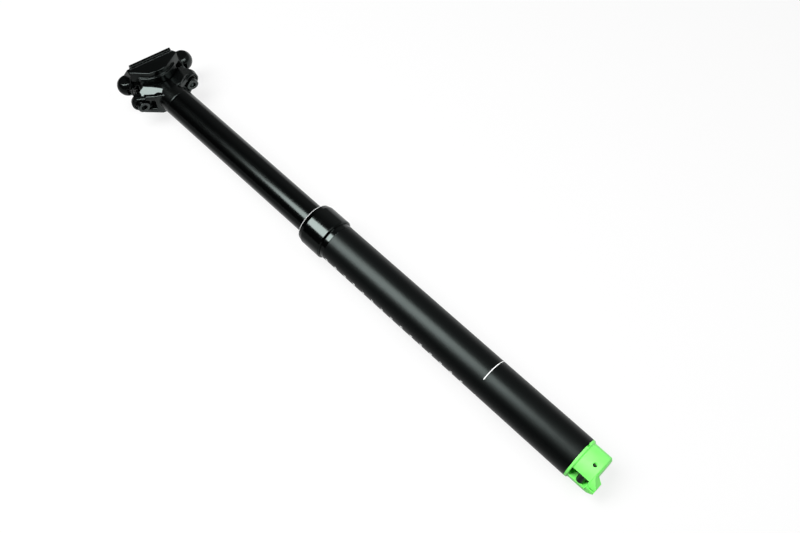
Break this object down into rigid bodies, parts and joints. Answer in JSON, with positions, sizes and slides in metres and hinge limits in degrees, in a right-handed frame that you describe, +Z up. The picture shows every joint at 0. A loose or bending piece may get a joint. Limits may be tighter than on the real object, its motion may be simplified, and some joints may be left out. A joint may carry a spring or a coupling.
{
  "type": "dropper seatpost",
  "caption": "Telescoping bicycle seatpost with a lever-released gas cartridge, a sealed collar, a cable actuator at its foot and a tilting two-bolt saddle clamp.",
  "frame": {"origin": "on the post's axis at the collar's shoulder, where the outer tube enters the frame", "axes": "+Z up the post towards the saddle, +X forward, +Y to the rider's left"},
  "size_m": [0.0697, 0.053, 0.5091],
  "materials": {
    "tube_black": "satin black anodised",
    "collar_black": "satin-gloss black anodised",
    "stanchion_black": "polished black hard anodised",
    "head_black": "gloss black anodised",
    "clamp_black": "gloss black anodised",
    "plain_aluminium": "turned",
    "bolt_black": "black oxide",
    "dark_steel": "dark plated",
    "steel": "ground",
    "brass": "plain",
    "rubber_black": "matte",
    "foam": "oiled foam",
    "bushing_grey": "filled polymer",
    "gland_grey": "filled polymer",
    "actuator_green": "moulded green",
    "lever_black": "moulded black"
  },
  "bodies": {
    "outer": {"outer_tube": "tube_black", "seal_collar": "collar_black", "wiper_seal": "rubber_black", "foam_ring": "foam", "upper_bushing": "bushing_grey", "foot_plug": "plain_aluminium", "cartridge_cylinder": "plain_aluminium", "rod_gland": "gland_grey", "actuator_housing": "actuator_green", "housing_screws": "dark_steel", "lever_pivot_pin": "dark_steel"},
    "slider": {"stanchion": "stanchion_black", "glide_bushing": "bushing_grey", "guide_keys": "brass", "cartridge_rod": "steel", "rod_piston": "plain_aluminium", "piston_seal": "rubber_black", "piston_nut": "steel", "rod_nut": "steel", "head": "head_black", "bolt_washers": "dark_steel", "front_clamp_bolt": "bolt_black", "rear_clamp_bolt": "bolt_black"},
    "clamp": {"lower_cradle": "clamp_black", "upper_clamp": "clamp_black"},
    "front_nut": {"front_barrel_nut": "steel"},
    "rear_nut": {"rear_barrel_nut": "steel"},
    "lever": {"actuator_lever": "lever_black", "cable_anchor": "steel"},
    "valve": {"valve_pin": "steel"}
  },
  "joints": [
    {"name": "post_travel", "type": "slide", "parent": "outer", "child": "slider", "axis": [0, 0, 1], "range_m": [-0.16, 0], "stiffness_N_per_m": 300, "springref_m": 0.05},
    {"name": "saddle_tilt", "type": "hinge", "parent": "slider", "child": "clamp", "pos_m": [0.00411, 0, 0.23455], "axis": [0, 1, 0], "range_deg": [-10, 10]},
    {"name": "front_nut_turn", "type": "hinge", "parent": "clamp", "child": "front_nut", "pos_m": [0.02608, 0, 0.22968], "axis": [0, 1, 0], "range_deg": [-10, 10]},
    {"name": "rear_nut_turn", "type": "hinge", "parent": "clamp", "child": "rear_nut", "pos_m": [-0.01785, 0, 0.23942], "axis": [0, 1, 0], "range_deg": [-10, 10]},
    {"name": "lever_pull", "type": "hinge", "parent": "outer", "child": "lever", "pos_m": [-0.00621, -0.00251, -0.2496], "axis": [0.3746, -0.9272, 0], "range_deg": [0, 16]},
    {"name": "valve_lift", "type": "slide", "parent": "outer", "child": "valve", "axis": [0, 0, 1], "range_m": [0, 0.0018], "stiffness_N_per_m": 20, "springref_m": -0.002}
  ],
  "couplings": [
    {"joint": "front_nut_turn", "follows": "saddle_tilt", "ratio": -1},
    {"joint": "rear_nut_turn", "follows": "saddle_tilt", "ratio": -1},
    {"joint": "lever_pull", "follows": "valve_lift", "rad_per_m": 155}
  ]
}
